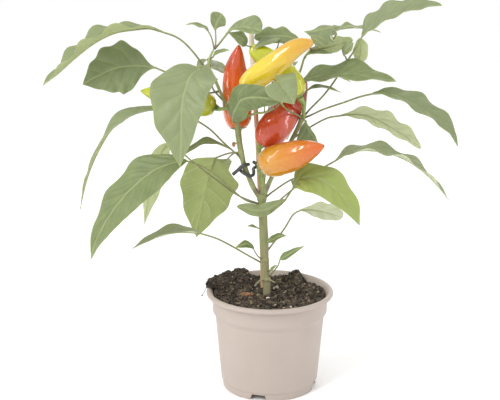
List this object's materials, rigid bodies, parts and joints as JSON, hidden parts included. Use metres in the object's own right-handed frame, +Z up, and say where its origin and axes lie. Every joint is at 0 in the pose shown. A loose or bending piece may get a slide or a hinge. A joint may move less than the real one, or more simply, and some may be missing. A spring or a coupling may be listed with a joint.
{
  "type": "potted chilli pepper plant",
  "caption": "Ornamental chilli pepper plant with upright glossy fruit in several colours, tied to a thin stick and growing in peat in a round plastic nursery pot.",
  "frame": {"origin": "on the bench, at the middle of the underside of the pot", "axes": "+Z up along the pot's axis; -Y is the front, the side with the golden and orange fruit and the pot's front notch; +X to the right seen from the front"},
  "size_m": [0.4077, 0.1791, 0.3977],
  "materials": {
    "pot_plastic": "thin pale pink-beige moulded nursery-pot plastic, low sheen",
    "peat": "damp dark peat compost, matt and crumbly",
    "bark": "dry orange-brown bark, matt",
    "green_stem": "fresh green stem, faintly ridged, satin",
    "bamboo_stick": "plain split bamboo, matt",
    "tie_wire": "black plastic-coated tie wire, satin",
    "leaf": "leaf blade, grey-green, satin, with paler veins",
    "young_leaf": "younger yellow-green leaf blade, satin",
    "calyx_green": "green calyx, flower stalks and buds, satin",
    "fruit_orange_red": "waxy glossy skin, orange to red",
    "fruit_golden": "waxy glossy skin, yellow to orange at the tip",
    "fruit_green_yellow": "waxy glossy skin, yellow-green",
    "fruit_red": "waxy glossy skin, red",
    "fruit_orange": "waxy glossy skin, orange",
    "fruit_lime": "waxy glossy skin, lime yellow"
  },
  "bodies": {
    "root": {"bark_chip": "bark", "calyx_lime": "calyx_green", "calyx_orange": "calyx_green", "calyx_red": "calyx_green", "calyx_red_orange": "calyx_green", "calyx_yellow": "calyx_green", "calyx_yellow_green": "calyx_green", "flower_buds": "calyx_green", "leaf_back_high": "leaf", "leaf_back_left_high": "leaf", "leaf_back_left_low": "leaf", "leaf_back_middle": "leaf", "leaf_back_right_high": "leaf", "leaf_back_right_low": "leaf", "leaf_front_left": "leaf", "leaf_front_right": "leaf", "leaf_left_arched": "leaf", "leaf_left_bottom": "leaf", "leaf_left_broad": "leaf", "leaf_left_drooping": "leaf", "leaf_left_front": "leaf", "leaf_left_low_behind": "leaf", "leaf_left_low_front": "leaf", "leaf_left_narrow": "leaf", "leaf_left_rear": "leaf", "leaf_right_arched": "leaf", "leaf_right_long": "leaf", "leaf_right_low_behind": "leaf", "leaf_right_low_front": "young_leaf", "leaf_right_narrow": "leaf", "leaf_right_node": "leaf", "leaf_right_rear": "leaf", "leaf_right_top": "leaf", "leaf_right_upper": "leaf", "leaflet_curled": "leaf", "leaflet_left_low": "leaf", "leaflet_left_tiny": "leaf", "leaflet_right_low": "leaf", "leaflet_right_small": "leaf", "leaflet_right_tiny": "leaf", "pepper_lime": "fruit_lime", "pepper_orange": "fruit_orange", "pepper_red": "fruit_red", "pepper_red_orange": "fruit_orange_red", "pepper_yellow": "fruit_golden", "pepper_yellow_green": "fruit_green_yellow", "pot": "pot_plastic", "soil": "peat", "spray_left_top": "leaf", "spray_middle_top": "leaf", "spray_right_top": "leaf", "stake": "bamboo_stick", "stem": "green_stem", "tie": "tie_wire"}
  },
  "joints": []
}
